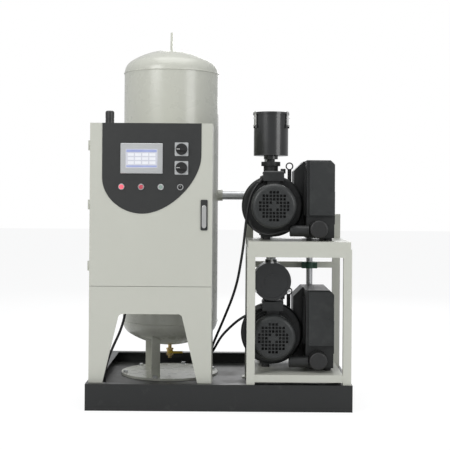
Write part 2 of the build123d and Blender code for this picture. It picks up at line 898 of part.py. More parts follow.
def fan_cowl(z):
    """Pressed fan cover with a rounded nose and a square-mesh grille."""
    axis = z + axis_h
    outer = rod_y(pump_x, cowl_front, cowl_back, axis, cowl_r)
    outer = fillet(outer.edges().group_by(Axis.Y)[0], cowl_round)
    inner = rod_y(pump_x, cowl_front + cowl_t, cowl_back + 1, axis, cowl_r - cowl_t)
    inner = fillet(inner.edges().group_by(Axis.Y)[0], cowl_round - cowl_t)
    cowl = outer - inner - rod_y(pump_x, cowl_front - 1, cowl_front + cowl_t + 1, axis, grille_r)
    mesh = Circle(grille_r)
    holes = []
    count = int(grille_r / mesh_pitch)
    for i in range(-count, count + 1):
        for j in range(-count, count + 1):
            x = i * mesh_pitch
            y = j * mesh_pitch
            far = math.hypot(abs(x) + mesh_hole / 2, abs(y) + mesh_hole / 2)
            near = math.hypot(max(abs(x) - mesh_hole / 2, 0), max(abs(y) - mesh_hole / 2, 0))
            if far < grille_r - 1 and near > mesh_hub_r - mesh_hole / 2:
                holes.append(Pos(x, y) * Rectangle(mesh_hole, mesh_hole))
    mesh = mesh - holes
    grille = plate_y(Pos(pump_x, axis) * mesh, cowl_front + 0.5, cowl_front + 0.5 + grille_t)
    return cowl + grille


def motor_fan(z):
    """Radial fan on the motor shaft."""
    axis = z + axis_h
    back = cowl_back - shield_t - 6
    fan = rod_y(pump_x, back - fan_w, back, axis, fan_hub_r)
    blade = Pos((fan_r + fan_hub_r - 6) / 2, 0) * Rectangle(fan_r - fan_hub_r + 6, blade_t)
    for spot in PolarLocations(0, fan_blades):
        fan += plate_y(Pos(pump_x, axis) * spot * blade, back - fan_w, back - 2)
    fan += rod_y(pump_x, back - 3, back, axis, fan_r)
    return fan + rod_y(pump_x, back, motor_back - 1, axis, shaft_r)


def ring_ribs(axis):
    ribs = []
    span = cylinder_back - bell_back
    for k in range(rib_count):
        y = bell_back + (k + 0.7) * span / rib_count
        ribs.append(rod_y(pump_x, y, y + rib_t, axis, rib_r))
    return ribs


def pump_housing(z):
    """Cast pump: bell, ribbed cylinder block, end cover, pedestals and oil bridge."""
    axis = z + axis_h
    bell = rod_y(pump_x, bell_front, bell_back, axis, bell_r)
    bell = fillet(bell.edges().group_by(Axis.Y)[0], bell_round)
    body = bell + rod_y(pump_x, motor_back, bell_front + 1, axis, bell_step_r)
    body += rod_y(pump_x, bell_back, cylinder_back, axis, cylinder_r)
    for rib in ring_ribs(axis):
        body += rib
    body += rod_y(pump_x, cylinder_back, cylinder_back + end_cover_t, axis, rib_r - 4)
    for y in (bell_front + 6, cylinder_back - pedestal_t - 10):
        body += block(pedestal_x - pedestal_w / 2, pedestal_x + pedestal_w / 2, y, y + pedestal_t,
                      z + foot_h, axis - cylinder_r + 25)
    body -= block(shoulder_x, box_x1, shoulder_front, box_back, z + shoulder_low, z + box_h)
    bridge = block(bridge_x, box_x0, shoulder_front + 15, box_back - 20, z + 40, z + shoulder_low)
    return body + bridge


def oil_box(z):
    """Cast oil separator: tall box, shoulder, sump, side step, ribs and strainer pot."""
    top = z + box_h
    c = box_chamfer
    main = outline((box_x0, z + foot_h), (box_x1, z + foot_h), (box_x1, top - c), (box_x1 - c, top),
                   (box_x0, top))
    body = plate_y(main, box_front, box_back)
    body -= block(box_x0 - 1, box_x1 + 1, box_front - 1, sump_front, z, z + cover_low - 4)
    s = shoulder_chamfer
    shoulder = outline((shoulder_x, z + shoulder_low), (box_x0, z + shoulder_low), (box_x0, top),
                       (shoulder_x + s, top), (shoulder_x, top - s))
    body += plate_y(shoulder, shoulder_front, box_back)
    body += block(box_x1, box_x1 + step_x, sump_front + 30, box_back - 20, z + step_low, z + step_high)
    for y in side_rib_ys:
        body += block(box_x0 - side_rib_t, box_x0, y, y + side_rib_t + 2, z + cover_low, top - 40)
    pot = rod_x(strainer_x, filter_x - filter_r - 4, strainer_y, z + strainer_h, strainer_r)
    pot = fillet(pot.edges().group_by(Axis.X)[0], 6)
    neck = block(box_x0, filter_x - filter_r - 6, strainer_y, sump_front, z + strainer_h - 16,
                 z + strainer_h + 16)
    return body + pot + neck


def oil_cover(z):
    """Flat cover on the front of the oil box with six screw heads."""
    c = box_chamfer - 4
    face = outline((cover_x0, z + cover_low), (box_x1, z + cover_low), (box_x1, z + cover_high - c),
                   (box_x1 - c, z + cover_high), (cover_x0, z + cover_high))
    face = fillet(face.vertices(), cover_round)
    cover = plate_y(face, box_front - cover_t, box_front)
    cover = chamfer(cover.faces().sort_by(Axis.Y)[0].edges(), 1.5)
    for x in (cover_x0 + 14, box_x1 - 24):
        for k in range(3):
            height = z + cover_low + 16 + k * (cover_high - cover_low - 36) / 2
            cover += rod_y(x, box_front - cover_t - bolt_h, box_front - cover_t, height, bolt_r)
    return cover


def oil_filter(z):
    """Spin-on oil filter on its adaptor."""
    body = rod_y(filter_x, filter_front, sump_front - 12, z + filter_h, filter_r)
    body = fillet(body.edges().group_by(Axis.Y)[0], 8)
    return body + rod_y(filter_x, sump_front - 12, sump_front, z + filter_h, filter_adaptor_r)


def terminal_box(z):
    """Motor terminal box on its saddle, with a lipped lid."""
    x0 = pump_x - term_w / 2
    x1 = pump_x + term_w / 2
    box = block(x0, x1, term_y0, term_y1, z + term_low, z + term_high - term_lid)
    lid = block(x0 - term_lip, x1 + term_lip, term_y0 - term_lip, term_y1 + term_lip,
                z + term_high - term_lid, z + term_high)
    lid = chamfer(lid.edges().group_by(Axis.Z)[-1], 5)
    half = term_neck / 2
    neck = block(pump_x - half, pump_x + half, term_y0 + 12, motor_back - motor_flange_t - 4,
                 z + axis_h + motor_core_r, z + term_low)
    neck -= rod_y(pump_x, term_y0, term_y1, z + axis_h, math.hypot(fin_r, fin_t / 2))
    return box + lid + neck


def inlet_fitting(z, lying):
    """Inlet valve body and flange with a nipple, or an elbow to a lying canister."""
    body = rod_z(inlet_x, inlet_y, z + axis_h, z + inlet_body_top, inlet_body_r)
    body += rod_z(inlet_x, inlet_y, z + inlet_body_top, z + inlet_flange_top, inlet_plate_r)
    body -= rod_y(pump_x, bell_back - 1, cylinder_back + 1, z + axis_h, cylinder_r)
    for rib in ring_ribs(z + axis_h):
        body -= rib
    if not lying:
        return body + rod_z(inlet_x, inlet_y, z + inlet_flange_top,
                            z + inlet_flange_top + nipple_len, nipple_r)
    bend = inlet_y - lying_y - 2
    path = FilletPolyline((inlet_x, inlet_y, z + inlet_flange_top), (inlet_x, inlet_y, z + lying_h),
                          (inlet_x, lying_y, z + lying_h), radius=bend)
    section = Plane(origin=path @ 0, z_dir=path % 0) * Circle(nipple_r)
    return body + sweep(section, path=path)


def lifting_eye(z):
    """Lifting ring on its post."""
    top = z + eye_h
    eye = Pos(eye_x, eye_y, top) * Rot(90, 0, 0) * Torus(eye_r, eye_wire)
    eye += rod_z(eye_x, eye_y, z + axis_h, top - eye_r, eye_post_r)
    eye -= rod_y(pump_x, bell_back - 1, cylinder_back + 1, z + axis_h, cylinder_r)
    for rib in ring_ribs(z + axis_h):
        eye -= rib
    return eye


def ballast_valve(z):
    """Gas ballast valve with a lobed knob."""
    valve = rod_z(ballast_x, ballast_y, z + axis_h, z + ballast_low, ballast_pipe_r)
    knob = Circle(ballast_knob_r - 3)
    for spot in PolarLocations(ballast_knob_r - 4, 5):
        knob += spot * Circle(4)
    valve += Pos(ballast_x, ballast_y, z + ballast_low) * extrude(knob, ballast_high - ballast_low)
    valve -= rod_y(pump_x, bell_back - 1, cylinder_back + 1, z + axis_h, cylinder_r)
    for rib in ring_ribs(z + axis_h):
        valve -= rib
    return valve


def pump_feet(z):
    """Rubber mounts under the pedestals and the oil box."""
    spots = [(pedestal_x, bell_front + 6 + pedestal_t / 2),
             (pedestal_x, cylinder_back - 10 - pedestal_t / 2),
             (box_x1 - 28, sump_front + 32), (box_x1 - 28, box_back - 32)]
    return [rod_z(x, y, z, z + foot_h, foot_pad_r) for x, y in spots]


def stand_can(z):
    return Pos(inlet_x, inlet_y, z + inlet_flange_top + nipple_len)


def lay_can(z):
    return Pos(inlet_x, lying_y, z + lying_h) * Rot(90, 0, 0)


def filter_can():
    """Canister with neck, side port and the fixed ears and pins of three clips."""
    z1 = can_neck_h + can_h
    can = rod_z(0, 0, 0, can_neck_h, can_neck_r)
    can += rod_z(0, 0, can_neck_h, z1, can_r)
    can += rod_y(0, 0, can_port_reach, can_port_z, can_port_r)
    can -= rod_z(0, 0, can_neck_h + can_wall, z1 + 1, can_r - can_wall)
    can -= rod_z(0, 0, -1, can_neck_h + can_wall + 1, nipple_r)
    can -= rod_y(0, 0, can_port_reach + 1, can_port_z, suction_r - suction_wall)
    for turn in clip_angles:
        can += Rot(0, 0, turn) * clip_ears()
    return can


def clip_ears():
    """Two ears on the canister wall with the clip pin between them."""
    inner = clip_w / 2 + turn_gap
    pin = Pos(clip_pivot_r, 0, clip_pivot_z) * Rot(90, 0, 0) * Cylinder(clip_pin_r,
                                                                      2 * (inner + clip_ear_t))
    ears = pin
    for side in (-1, 1):
        y0 = min(side * inner, side * (inner + clip_ear_t))
        ears += block(can_r - 1, clip_pivot_r + 4, y0, y0 + clip_ear_t, clip_pivot_z - 12,
                      clip_pivot_z + 5)
    return ears


def filter_lid():
    """Pressed lid with a rolled rim, a centre cap and a ring of round dimples."""
    z0 = can_neck_h + can_h
    lid = rod_z(0, 0, z0, z0 + lid_t, can_r)
    lid += rod_z(0, 0, z0, z0 + lid_t, lid_rim_r) - rod_z(0, 0, z0 + 3, z0 + lid_t + 1, can_r)
    lid -= rod_z(0, 0, z0 + lid_t - 6, z0 + lid_t + 1, can_r - 8)
    lid += rod_z(0, 0, z0 + lid_t - 6, z0 + lid_t - 6 + lid_cap_h, lid_cap_r)
    for spot in PolarLocations(lid_dimple_ring, 6, start_angle=30):
        lid -= spot * Pos(0, 0, z0 + lid_t - 6) * Cylinder(lid_dimple_r, 5)
    return lid


def filter_element():
    """Pleated element between the canister floor and the lid."""
    z0 = can_neck_h + can_wall
    z1 = can_neck_h + can_h
    return rod_z(0, 0, z0, z1, element_r) - rod_z(0, 0, z0 - 1, z1 + 1, element_bore)


def filter_clip(turn):
    """Toggle clip: barrel on its pin, strap, finger tab and the hook over the lid."""
    top = can_neck_h + can_h + lid_t + clip_gap
    inner = lid_rim_r + clip_gap + 0.5
    half = clip_w / 2
    clip = Pos(clip_pivot_r, 0, clip_pivot_z) * Rot(90, 0, 0) * Cylinder(clip_barrel_r, clip_w)
    clip += block(inner, inner + clip_t, -half, half, clip_pivot_z, top + clip_t)
    clip += block(lid_rim_r - clip_hook / 2, inner + clip_t, -half, half, top, top + clip_t)
    clip += block(inner, inner + clip_tab, -half + 2, half - 2, top - 34, top - 34 + clip_t)
    clip -= Pos(clip_pivot_r, 0, clip_pivot_z) * Rot(90, 0, 0) * Cylinder(clip_pin_r + fit, clip_w + 2)
    return Rot(0, 0, turn) * clip


def suction_riser():
    """Welded riser from the standing canister's port down to the lying one's."""
    up = stand_can(upper_shelf_top) * Pos(0, can_port_reach, can_port_z)
    low = lay_can(lower_shelf_top) * Pos(0, can_port_reach, can_port_z)
    a = up.position
    b = low.position
    path = FilletPolyline((a.X, a.Y, a.Z), (a.X, riser_y, a.Z), (b.X, riser_y, branch_z),
                          (b.X, b.Y, branch_z), (b.X, b.Y, b.Z),
                          radius=[elbow_r, elbow_r, stub_elbow_r])
    return tube_along(path, suction_r, suction_wall), path


def suction_header():
    """Straight pipe from the tank's socket to a saddle on the riser."""
    x0 = tank_x + tank_r + port_reach
    pipe = rod_x(x0, inlet_x, riser_y, header_z, suction_r)
    pipe -= rod_z(inlet_x, riser_y, branch_z, header_z + 200, suction_r)
    return pipe - rod_x(x0 - 1, inlet_x, riser_y, header_z, suction_r - suction_wall)


def exhaust_riser():
    """Exhaust pipe from the lower oil box, with a tee to the upper one."""
    low = lower_shelf_top + exhaust_port_h
    tee = upper_shelf_top + exhaust_port_h
    path = FilletPolyline((exhaust_x, box_back, low), (exhaust_x, exhaust_y, low),
                          (exhaust_x, exhaust_y, exhaust_top), radius=exhaust_elbow)
    pipe = tube_along(path, exhaust_r, exhaust_wall)
    # The open end is turned down for the exhaust line's sleeve.
    spigot_foot = exhaust_top - exhaust_spigot_h
    pipe -= (rod_z(exhaust_x, exhaust_y, spigot_foot, exhaust_top + 1, exhaust_r + 1)
             - rod_z(exhaust_x, exhaust_y, spigot_foot, exhaust_top + 1, exhaust_spigot_r))
    stub = rod_y(exhaust_x, box_back, exhaust_y, tee, exhaust_r)
    stub -= rod_z(exhaust_x, exhaust_y, tee - 40, tee + 40, exhaust_r - exhaust_wall)
    stub -= rod_y(exhaust_x, box_back - 1, exhaust_y, tee, exhaust_r - exhaust_wall)
    return pipe + stub


def pipe_clamp():
    """Two-screw block clamp that holds the exhaust pipe to the crossbar."""
    z = crossbar_z + crossbar_h / 2
    y1 = rack_y1 - post
    y0 = 2 * exhaust_y - y1
    clamp = block(exhaust_x - clamp_w / 2, exhaust_x + clamp_w / 2, y0 + 12, y1, z - clamp_h / 2,
                  z + clamp_h / 2)
    clamp += rod_z(exhaust_x, exhaust_y, z - clamp_h / 2, z + clamp_h / 2, exhaust_r + 11)
    for dx in (-1, 1):
        clamp += rod_y(exhaust_x + dx * (clamp_w / 2 - 12), y0 + 8, y0 + 12, z, 6)
    return clamp - rod_z(exhaust_x, exhaust_y, z - clamp_h, z + clamp_h, exhaust_r + clamp_clear)


def gland():
    """Cable gland along +Z: hexagon nut and domed cap."""
    nut = extrude(RegularPolygon(gland_nut_r, 6), gland_nut_t)
    cap = rod_z(0, 0, gland_nut_t, gland_len, gland_r)
    return nut + chamfer(cap.edges().group_by(Axis.Z)[-1], 3)


def side_gland_place(z, tilt):
    """Place of a gland that leaves the terminal box's left side, pointing down at an angle."""
    x = pump_x - term_w / 2
    return Pos(x, gland_y, z + term_high - gland_drop) * Rot(0, -90 - tilt, 0)


def cable_glands():
    """Glands on both terminal boxes and the cabinet floor, and the deck grommets."""
    fittings = []
    for name, tilt in (("upper", upper_gland_tilt), ("lower", lower_gland_tilt)):
        place = side_gland_place(shelves[name], tilt)
        x = pump_x - term_w / 2
        z = shelves[name] + term_high - gland_drop
        body = place * gland() + Pos(x, gland_y, z) * Sphere(gland_nut_r - 2)
        body -= block(x, x + 60, gland_y - 40, gland_y + 40, z - 60, z + 60)
        fittings.append(body)
    x, y = floor_gland
    fittings.append(Pos(x, y, cab_bottom) * Rot(180, 0, 0) * gland())
    for x, y in grommet_spots:
        collar = rod_z(x, y, deck_top, deck_top + grommet_h, grommet_r)
        fittings.append(chamfer(collar.edges().group_by(Axis.Z)[-1], 3))
    hx, hy, hz = hose_start
    fittings.append(rod_y(hx, hy, bell_front, hz, hose_fitting_r))
    return fittings


def route_from_gland(name, tilt, run, tail):
    """Cord route that leaves its gland straight before it bends."""
    place = side_gland_place(shelves[name], tilt)
    ends = [place * Pos(0, 0, gland_len), place * Pos(0, 0, gland_len + run)]
    return [tuple(end.position) for end in ends] + tail


def save(shape, node):
    if isinstance(shape, (list, tuple)):
        shape = Compound(children=list(shape))
    export_step(shape, "parts/" + node + ".step")


def build():
    os.makedirs("parts", exist_ok=True)
    long_rails, side_rails = base_rails()
    save(long_rails, "base_long_rails")
    save(side_rails, "base_side_rails")
    save(base_bearers(), "deck_bearers")
    save(deck_plate(), "deck_plate")
    save(tank_vessel(), "tank_vessel")
    save(tank_stand(), "tank_stand")
    save(drain_valve(), "drain_valve")
    save(drain_lever(), "drain_lever")
    save(cabinet_shell(), "cabinet_shell")
    save(cabinet_stand(), "cabinet_stand")
    save(cabinet_door(), "cabinet_door")
    save(door_hinges(), "door_hinges")
    save(control_panel(), "control_panel")
    save(screen_bezel(), "screen_bezel")
    save(screen_glass(), "screen_glass")
    save(control_bezels(), "control_bezels")
    save(lamp_lenses(), "lamp_lenses")
    save(start_button(), "start_button")
    save(selector_knob(), "selector_knob")
    for name, z in zip(("upper", "lower"), switch_zs):
        save(switch_knob(z), "switch_knob_" + name)
    save(latch_plate(), "latch_plate")
    save(latch_handle(), "latch_handle")
    save(gear_plate(), "gear_plate")
    save(control_gear(), "control_gear")
    save(alarm_sounder(), "alarm_sounder")
    save(rack_posts(), "rack_posts")
    save(rack_rails(), "rack_rails")
    save(rack_shelves(), "rack_shelves")
    heights = list(shelves.values())
    for node, make in (("motor_bodies", motor_body), ("fan_cowls", fan_cowl),
                       ("pump_housings", pump_housing), ("oil_boxes", oil_box),
                       ("oil_box_covers", oil_cover), ("oil_filters", oil_filter),
                       ("terminal_boxes", terminal_box), ("lifting_eyes", lifting_eye),
                       ("ballast_valves", ballast_valve)):
        save([make(z) for z in heights], node)
    save([inlet_fitting(upper_shelf_top, False), inlet_fitting(lower_shelf_top, True)],
         "inlet_fittings")
    save(pump_feet(upper_shelf_top) + pump_feet(lower_shelf_top), "pump_feet")
    places = {"upper": stand_can(upper_shelf_top), "lower": lay_can(lower_shelf_top)}
    for node, make in (("filter_cans", filter_can), ("filter_lids", filter_lid),
                       ("filter_elements", filter_element)):
        solid = make()
        save([place * solid for place in places.values()], node)
    for name, place in places.items():
        save(motor_fan(shelves[name]), "motor_fan_" + name)
        for number, turn in enumerate(clip_angles, 1):
            save(place * filter_clip(turn), "filter_clip_" + name + "_" + str(number))
    riser, path = suction_riser()
    save(riser, "suction_riser")
    save(suction_header(), "suction_header")
    save(exhaust_riser(), "exhaust_riser")
    save(pipe_clamp(), "pipe_clamp")
    save(cable_glands(), "cable_glands")
    upper_route = route_from_gland("upper", upper_gland_tilt, upper_first_run, route_upper_tail)
    lower_route = route_from_gland("lower", lower_gland_tilt, lower_first_run, route_lower_tail)
    print("cable starts", upper_route[:2], lower_route[:2])
    save(cord(upper_route, cable_d, "cable_upper"), "cable_upper")
    save(cord(lower_route, cable_d, "cable_lower"), "cable_lower")
    save(cord(route_supply, cable_d, "cable_supply"), "cable_supply")
    save(cord(route_hose, hose_d, "oil_hose"), "oil_hose")


build()
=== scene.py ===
import math

import bmesh
import bpy
from mathutils import Matrix, Vector


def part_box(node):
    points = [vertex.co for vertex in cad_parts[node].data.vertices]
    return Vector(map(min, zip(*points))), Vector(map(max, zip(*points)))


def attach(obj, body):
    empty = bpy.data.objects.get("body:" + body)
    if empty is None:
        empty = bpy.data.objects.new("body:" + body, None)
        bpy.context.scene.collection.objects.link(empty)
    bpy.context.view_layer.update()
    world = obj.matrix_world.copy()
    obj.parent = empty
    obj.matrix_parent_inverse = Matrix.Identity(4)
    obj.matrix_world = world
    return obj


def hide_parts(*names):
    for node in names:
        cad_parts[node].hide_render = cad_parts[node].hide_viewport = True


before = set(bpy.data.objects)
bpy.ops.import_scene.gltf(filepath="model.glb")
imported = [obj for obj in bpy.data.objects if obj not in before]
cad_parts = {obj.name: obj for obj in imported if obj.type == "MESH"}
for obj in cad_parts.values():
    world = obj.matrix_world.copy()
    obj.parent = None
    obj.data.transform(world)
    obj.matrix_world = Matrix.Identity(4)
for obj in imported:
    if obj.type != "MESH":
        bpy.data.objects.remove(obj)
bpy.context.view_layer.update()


# Camera
# The photograph was taken level, from about 5 m before the station and a metre up,
# with its horizon a little above the middle of the picture.
focal_px = 1031
picture_px = 450
vanishing_column = 232
vanishing_row = 200
camera_data = bpy.data.cameras.new("camera")
camera_data.sensor_width = 36
camera_data.lens = camera_data.sensor_width * focal_px / picture_px
camera_data.shift_x = (picture_px / 2 - vanishing_column) / picture_px
camera_data.shift_y = (vanishing_row - picture_px / 2) / picture_px
camera_data.clip_end = 200
camera = bpy.data.objects.new("camera", camera_data)
camera.location = (0.058, -5.55, 1.027)
camera_roll = math.radians(-0.42)
camera.rotation_euler = (math.radians(90), camera_roll, 0)
bpy.context.scene.collection.objects.link(camera)
bpy.context.scene.camera = camera
bpy.context.scene.view_settings.view_transform = "Standard"


# Cables and the oil hose
# Black rubber-sheathed leads and a hose, from the motors' glands and the cabinet's floor
# down to grommets in the deck. Their sheath is slightly dusty and finely ribbed.
class Field:
    """A value in a material's node tree that is written with in plain arithmetic."""

    def __init__(self, tree, socket):
        self.tree = tree
        self.socket = socket

    def node(self, kind, settings=None, inputs=None, output=0):
        made = self.tree.nodes.new("ShaderNode" + kind)
        for name, value in (settings or {}).items():
            if name == "stops":
                for stop, (place, shade) in zip(made.color_ramp.elements, value):
                    stop.position = place
                    stop.color = (shade, shade, shade, 1)
            else:
                setattr(made, name, value)
        for name, value in (inputs or {}).items():
            if isinstance(value, Field):
                self.tree.links.new(value.socket, made.inputs[name])
            else:
                made.inputs[name].default_value = value
        return Field(self.tree, made.outputs[output])

    def __add__(self, other):
        return self.node("Math", {"operation": "ADD"}, {0: self, 1: other})

    def __radd__(self, other):
        return self.node("Math", {"operation": "ADD"}, {0: other, 1: self})

    def __sub__(self, other):
        return self.node("Math", {"operation": "SUBTRACT"}, {0: self, 1: other})

    def __rsub__(self, other):
        return self.node("Math", {"operation": "SUBTRACT"}, {0: other, 1: self})

    def __mul__(self, other):
        return self.node("Math", {"operation": "MULTIPLY"}, {0: self, 1: other})

    def __rmul__(self, other):
        return self.node("Math", {"operation": "MULTIPLY"}, {0: other, 1: self})


def finish(name, metallic=0.0, coat=0.0):
    """A new material, its shader, and the place on the object in metres."""
    material = bpy.data.materials.new(name)
    material.use_nodes = True
    tree = material.node_tree
    shader = tree.nodes["Principled BSDF"]
    shader.inputs["Metallic"].default_value = metallic
    shader.inputs["Coat Weight"].default_value = coat
    shader.inputs["Coat Roughness"].default_value = 0.15
    place = Field(tree, tree.nodes.new("ShaderNodeTexCoord").outputs["Object"])
    return material, shader, place


def noise(place, scale, detail=4.0):
    return place.node("TexNoise", {}, {"Vector": place, "Scale": scale, "Detail": detail})


def spread(value, low, high):
    """Value between two levels, stretched to 0 and 1."""
    return value.node("ValToRGB", {"stops": ((low, 0.0), (high, 1.0))}, {"Fac": value})


def tint(mask, one, two):
    """Colour that goes from one to two as the mask rises."""
    factor, colour_a, colour_b, colour_out = 0, 6, 7, 2
    return mask.node("Mix", {"data_type": "RGBA"},
                     {factor: mask, colour_a: (*one, 1), colour_b: (*two, 1)}, colour_out)


def connect(shader, **values):
    """Links values to a shader's sockets, named with _ for a space."""
    for name, value in values.items():
        value.tree.links.new(value.socket, shader.inputs[name.replace("_", " ")])


def bumps(height, distance, strength=1.0):
    return height.node("Bump", {}, {"Height": height, "Distance": distance, "Strength": strength})


sheath, sheath_shader, sheath_place = finish("rubber_sheath")
sheath_dust = spread(noise(sheath_place, 60), 0.4, 0.75)
connect(sheath_shader, Base_Color=tint(sheath_dust, (0.012, 0.012, 0.013), (0.035, 0.035, 0.034)),
        Roughness=sheath_dust * 0.2 + 0.42, Normal=bumps(noise(sheath_place, 900), 0.0002))


def lead(name, node, route, diameter):
    """One cord along a smooth curve that rounds the corners of its route."""
    data = bpy.data.curves.new(name, "CURVE")
    data.dimensions = "3D"
    data.bevel_depth = diameter / 2
    data.bevel_resolution = 6
    data.resolution_u = 12
    line = data.splines.new("NURBS")
    line.points.add(len(route) - 1)
    for point, place in zip(line.points, route):
        point.co = (*place, 1)
    line.order_u = 3
    line.use_endpoint_u = True
    data.materials.append(sheath)
    piece = bpy.data.objects.new(name, data)
    bpy.context.scene.collection.objects.link(piece)
    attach(piece, "station")
    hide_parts(node)


lead_d = 0.013
hose_d = 0.01
lead("upper_motor_lead", "cable_upper",
     [(0.192145, -0.365, 1.112954), (0.156792, -0.365, 1.070822), (0.138, -0.364, 0.985),
      (0.127, -0.361, 0.896), (0.118, -0.352, 0.8), (0.104, -0.338, 0.705),
      (0.088, -0.315, 0.612), (0.062, -0.272, 0.522), (0.028, -0.218, 0.432),
      (-0.006, -0.168, 0.345), (-0.04, -0.134, 0.262), (-0.066, -0.13, 0.16),
      (-0.066, -0.13, 0.082)], lead_d)
lead("lower_motor_lead", "cable_lower",
     [(0.18398, -0.365, 0.475038), (0.144247, -0.365, 0.453912), (0.092, -0.345, 0.42),
      (0.048, -0.302, 0.375), (0.012, -0.243, 0.33), (-0.012, -0.172, 0.283),
      (-0.04, -0.104, 0.222), (-0.104, -0.084, 0.15), (-0.104, -0.084, 0.082)], lead_d)
lead("supply_lead", "cable_supply",
     [(-0.476, -0.3, 0.566), (-0.476, -0.3, 0.5), (-0.484, -0.298, 0.428),
      (-0.508, -0.293, 0.35), (-0.544, -0.285, 0.275), (-0.572, -0.279, 0.205),
      (-0.586, -0.275, 0.142), (-0.586, -0.275, 0.082)], lead_d)
lead("oil_return_hose", "oil_hose",
     [(0.15, -0.322, 0.92), (0.15, -0.35, 0.92), (0.158, -0.385, 0.893),
      (0.188, -0.415, 0.868), (0.232, -0.432, 0.856), (0.272, -0.441, 0.86),
      (0.31, -0.442, 0.876), (0.345, -0.442, 0.876)], hose_d)


# Floor and light
# A plain pale floor under a white surround, with a large soft lamp at the left front and
# weaker ones at the right, overhead and behind.
floor_white = 1.12
floor_white_share = 0.78
floor_half = 30
floor_drop = 0.0005
surround_strength = 0.32
mirrored_share = 0.4


def link_mesh(name, build, material, body=None, smooth=False):
    """New mesh piece made with bmesh. It rides on a body unless it is stage."""
    data = bpy.data.meshes.new(name)
    mesh = bmesh.new()
    build(mesh)
    bmesh.ops.recalc_face_normals(mesh, faces=mesh.faces)
    mesh.to_mesh(data)
    mesh.free()
    for face in data.polygons:
        face.use_smooth = smooth
    data.materials.append(material)
    piece = bpy.data.objects.new(name, data)
    bpy.context.scene.collection.objects.link(piece)
    if body:
        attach(piece, body)
    return piece


floor_paint, floor_shader, floor_place = finish("pale_floor")
connect(floor_shader,
        Base_Color=tint(noise(floor_place, 2), (0.9, 0.9, 0.9), (0.93, 0.93, 0.93)),
        Roughness=noise(floor_place, 5) * 0.1 + 0.7)
floor_tree = floor_paint.node_tree
floor_glow = floor_tree.nodes.new("ShaderNodeEmission")
floor_glow.inputs["Strength"].default_value = floor_white
floor_mix = floor_tree.nodes.new("ShaderNodeMixShader")
floor_ray = Field(floor_tree, floor_tree.nodes.new("ShaderNodeLightPath").outputs["Is Camera Ray"])
floor_tree.links.new((floor_ray * floor_white_share).socket, floor_mix.inputs[0])
floor_tree.links.new(floor_shader.outputs[0], floor_mix.inputs[1])
floor_tree.links.new(floor_glow.outputs[0], floor_mix.inputs[2])
floor_tree.links.new(floor_mix.outputs[0], floor_tree.nodes["Material Output"].inputs[0])


def floor_grid(mesh):
    bmesh.ops.create_grid(mesh, x_segments=4, y_segments=4, size=floor_half)


floor = link_mesh("floor", floor_grid, floor_paint)
floor.location.z = -floor_drop

world = bpy.data.worlds.new("surround")
bpy.context.scene.world = world
world.use_nodes = True
world_tree = world.node_tree
surround = world_tree.nodes["Background"]
surround.inputs["Color"].default_value = (0.93, 0.96, 1, 1)
surround.inputs["Strength"].default_value = surround_strength
backdrop = world_tree.nodes.new("ShaderNodeBackground")
backdrop.inputs["Strength"].default_value = 1
backdrop.inputs["Color"].default_value = (1, 1, 1, 1)
world_mix = world_tree.nodes.new("ShaderNodeMixShader")
ray = world_tree.nodes.new("ShaderNodeLightPath")
seen = Field(world_tree, ray.outputs["Is Camera Ray"])
mirrored = Field(world_tree, ray.outputs["Is Glossy Ray"])
through = Field(world_tree, ray.outputs["Is Transmission Ray"])
world_tree.links.new((seen + mirrored * mirrored_share + through).socket, world_mix.inputs[0])
world_tree.links.new(surround.outputs[0], world_mix.inputs[1])
world_tree.links.new(backdrop.outputs[0], world_mix.inputs[2])
world_tree.links.new(world_mix.outputs[0], world_tree.nodes["World Output"].inputs[0])

station_middle = 0.9
for lamp_name, lamp_place, lamp_power, lamp_size in (
        ("left_lamp", (-3.2, -4.2, 3.4), 110, 2.4), ("right_lamp", (3.6, -3.2, 2.2), 48, 2.0),
        ("top_lamp", (0, -0.4, 4.6), 60, 3.0), ("back_lamp", (0.5, 4.5, 3.0), 60, 2.4)):
    lamp_data = bpy.data.lights.new(lamp_name, "AREA")
    lamp_data.energy = lamp_power
    lamp_data.size = lamp_size
    lamp = bpy.data.objects.new(lamp_name, lamp_data)
    lamp.location = lamp_place
    aim = Vector((0, 0, station_middle)) - Vector(lamp_place)
    lamp.rotation_euler = aim.to_track_quat("-Z", "Y").to_euler()
    bpy.context.scene.collection.objects.link(lamp)


# Base frame and deck
# Folded channels with mitred corners in semi-gloss black, scuffed a little grey along
# the top, around a dark deck of painted sheet. The deck's grey is partly its own paint and
# partly painted light from above, and its lighter patches are painted reflections.
def dress(material, *names):
    """Gives a material to CAD nodes."""
    for name in names:
        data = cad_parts[name].data
        data.materials.clear()
        data.materials.append(material)


base_paint, base_shader, base_place = finish("base_black_paint", coat=0.2)
scuff = spread(noise(base_place, 14, 8), 0.62, 0.74)
connect(base_shader, Base_Color=tint(scuff, (0.008, 0.009, 0.009), (0.026, 0.027, 0.026)),
        Roughness=noise(base_place, 9) * 0.25 + 0.28, Normal=bumps(noise(base_place, 700), 0.0002, 0.5))
dress(base_paint, "base_long_rails", "base_side_rails", "deck_bearers")
deck_paint, deck_shader, deck_place = finish("deck_paint")
# Lighter random patches on the deck: painted reflections on its semi-gloss paint, over a grey that is
# partly painted light from above.
painted_reflection_patches = spread(noise(deck_place, 7, 9), 0.5, 0.72)
connect(deck_shader, Base_Color=tint(painted_reflection_patches, (0.03, 0.031, 0.03), (0.075, 0.075, 0.07)),
        Roughness=painted_reflection_patches * 0.2 + 0.45, Normal=bumps(noise(deck_place, 260), 0.0003, 0.6))
dress(deck_paint, "deck_plate")


